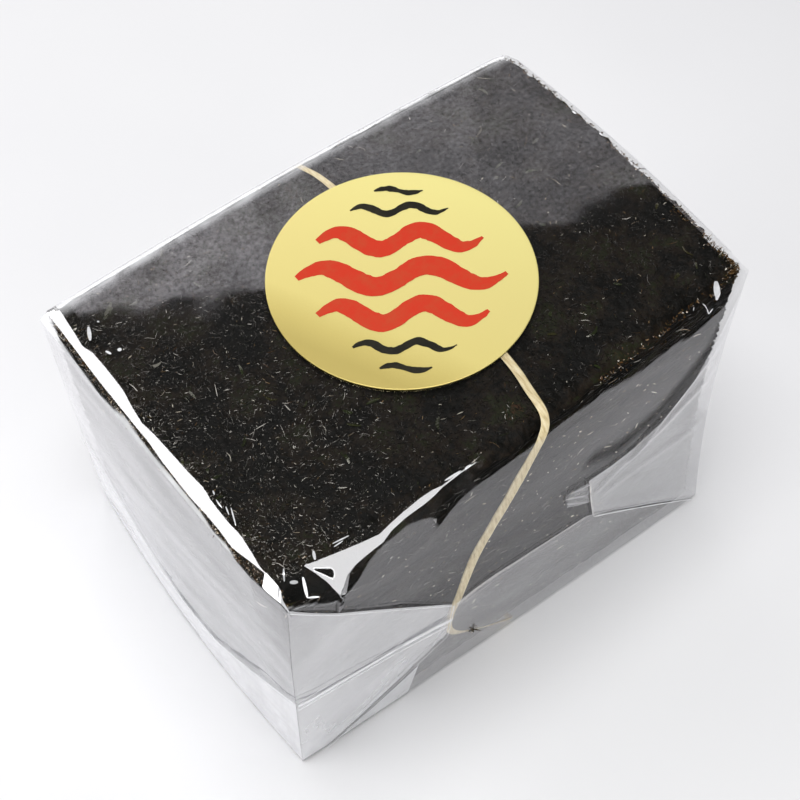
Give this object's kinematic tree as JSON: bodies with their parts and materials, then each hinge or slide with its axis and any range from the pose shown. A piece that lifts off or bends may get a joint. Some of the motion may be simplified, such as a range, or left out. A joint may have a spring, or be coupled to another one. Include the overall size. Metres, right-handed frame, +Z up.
{
  "type": "film-wrapped stack of nori sheets",
  "caption": "Block-shaped stack of dried nori sheets, tied round the middle with flat twine and sealed in folded clear film, with a plain-backed round gold label on top.",
  "frame": {"origin": "middle of the base of the pack, on the surface that it stands on", "axes": "+X along the long side, -Y towards the end whose envelope fold shows, +Z up through the label"},
  "size_m": [0.2892, 0.207, 0.1878],
  "materials": {
    "film": "clear glossy film over dark seaweed, hazier where the film is folded in layers",
    "nori": "crinkled black-brown-green dried seaweed with fine glossy glints and ragged edges",
    "twine": "dull straw-coloured flat fibre twine",
    "label": "satin gold foil paper with red and black wave motifs"
  },
  "bodies": {
    "root": {"film_pack": "film", "twine": "twine", "label": "label"}
  },
  "joints": []
}
